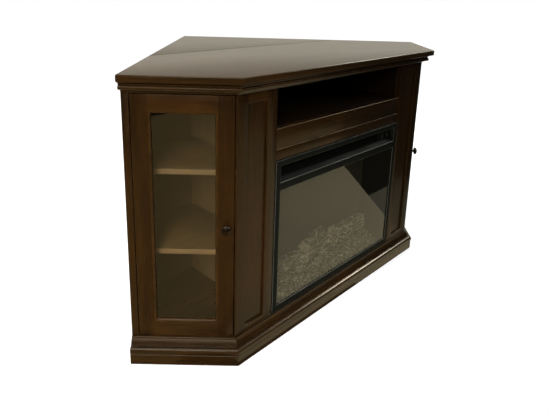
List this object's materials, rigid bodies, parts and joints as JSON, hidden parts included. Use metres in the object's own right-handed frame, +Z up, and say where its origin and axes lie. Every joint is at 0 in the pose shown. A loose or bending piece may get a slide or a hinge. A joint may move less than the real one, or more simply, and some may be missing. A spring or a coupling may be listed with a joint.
{
  "type": "corner fireplace console",
  "caption": "Corner media console with an electric fireplace insert, angled glass-door cabinets, an open media bay, moulded top and plinth, and a drop-down rear leaf.",
  "frame": {"origin": "on the floor, under the middle of the bounding box", "axes": "+Z up, the front faces -Y, +X to the right as seen from the front"},
  "size_m": [1.3938, 0.9132, 0.82],
  "materials": {
    "espresso": "semi-gloss espresso stain over open grain",
    "espresso_top": "semi-gloss espresso stain, darker and smoother",
    "interior": "satin brown interior finish",
    "shelf": "satin, lighter front edge",
    "door_glass": "clear polished glass",
    "fire_glass": "smoked polished glass",
    "bronze": "dark bronze, satin",
    "zinc_steel": "zinc plated",
    "black_steel": "satin black paint",
    "flame_screen": "frosted dark screen",
    "ember_resin": "rough ash-grey resin",
    "log_resin": "rough bark, ash grey",
    "bright_tin": "bright rolled strip",
    "motor_steel": "bare steel case",
    "black_plastic": "satin black plastic"
  },
  "bodies": {
    "console": {"main_top": "espresso_top", "cornice_front": "espresso", "cornice_left": "espresso", "cornice_right": "espresso", "plinth_front": "espresso", "plinth_left": "espresso", "plinth_right": "espresso", "left_side_panel": "espresso", "right_side_panel": "espresso", "left_pilaster_frame": "espresso", "right_pilaster_frame": "espresso", "left_pilaster_panel": "espresso", "right_pilaster_panel": "espresso", "fascia_board": "espresso", "header_rail": "espresso", "av_shelf": "espresso", "sub_top": "interior", "bottom_panel": "interior", "left_divider": "interior", "right_divider": "interior", "back_panel": "interior", "rear_rail": "interior", "left_lower_shelf": "shelf", "right_lower_shelf": "shelf", "left_upper_shelf": "shelf", "right_upper_shelf": "shelf", "fire_glass": "fire_glass", "left_door_top_pivot": "zinc_steel", "right_door_top_pivot": "zinc_steel", "left_door_bottom_pivot": "zinc_steel", "right_door_bottom_pivot": "zinc_steel", "leaf_hinge_top_plate": "zinc_steel", "leaf_hinge_pin": "zinc_steel", "leaf_stay_plate": "zinc_steel", "insert_trim_frame": "black_steel", "firebox_shell": "black_steel", "heater_grille": "black_steel", "flame_screen": "flame_screen", "ember_bed": "ember_resin", "rear_log": "log_resin", "left_log": "log_resin", "right_log": "log_resin", "rotor_motor": "motor_steel", "blower_motor": "motor_steel", "power_inlet": "black_plastic"},
    "left_door": {"left_door_frame": "espresso", "left_door_glass": "door_glass", "left_door_knob": "bronze"},
    "right_door": {"right_door_frame": "espresso", "right_door_glass": "door_glass", "right_door_knob": "bronze"},
    "rear_leaf": {"rear_leaf": "espresso_top", "leaf_hinge_leaf_plate": "zinc_steel", "leaf_stay_arm": "zinc_steel"},
    "stay_strut": {"leaf_stay_strut": "zinc_steel"},
    "flame_rotor": {"flame_rotor": "bright_tin"},
    "blower_wheel": {"blower_wheel": "bright_tin"},
    "flame_button": {"flame_button": "black_plastic"},
    "heater_button": {"heater_button": "black_plastic"}
  },
  "joints": [
    {"name": "left_door_swing", "type": "hinge", "parent": "console", "child": "left_door", "pos_m": [-0.64849, -0.2287, 0.421], "axis": [0, 0, -1], "range_deg": [0, 110]},
    {"name": "right_door_swing", "type": "hinge", "parent": "console", "child": "right_door", "pos_m": [0.64849, -0.2287, 0.421], "axis": [0, 0, 1], "range_deg": [0, 110]},
    {"name": "leaf_fold", "type": "hinge", "parent": "console", "child": "rear_leaf", "pos_m": [0, -0.00156, 0.7972], "axis": [-1, 0, 0], "range_deg": [0, 90]},
    {"name": "stay_fold", "type": "hinge", "parent": "console", "child": "stay_strut", "pos_m": [0.0045, -0.00776, 0.6472], "axis": [-1, 0, 0], "range_deg": [0, 128.7]},
    {"name": "flame_rotor_spin", "type": "hinge", "parent": "console", "child": "flame_rotor", "pos_m": [0, -0.25096, 0.1303], "axis": [1, 0, 0], "continuous": true},
    {"name": "blower_spin", "type": "hinge", "parent": "console", "child": "blower_wheel", "pos_m": [-0.1, -0.29896, 0.518], "axis": [1, 0, 0], "continuous": true},
    {"name": "flame_button_press", "type": "slide", "parent": "console", "child": "flame_button", "axis": [0, 1, 0], "range_m": [0, 0.0025], "stiffness_N_per_m": 200, "springref_m": -0.004},
    {"name": "heater_button_press", "type": "slide", "parent": "console", "child": "heater_button", "axis": [0, 1, 0], "range_m": [0, 0.0025], "stiffness_N_per_m": 200, "springref_m": -0.004}
  ],
  "couplings": [
    {"joint": "stay_fold", "follows": "leaf_fold", "ratio": 1.4299}
  ]
}
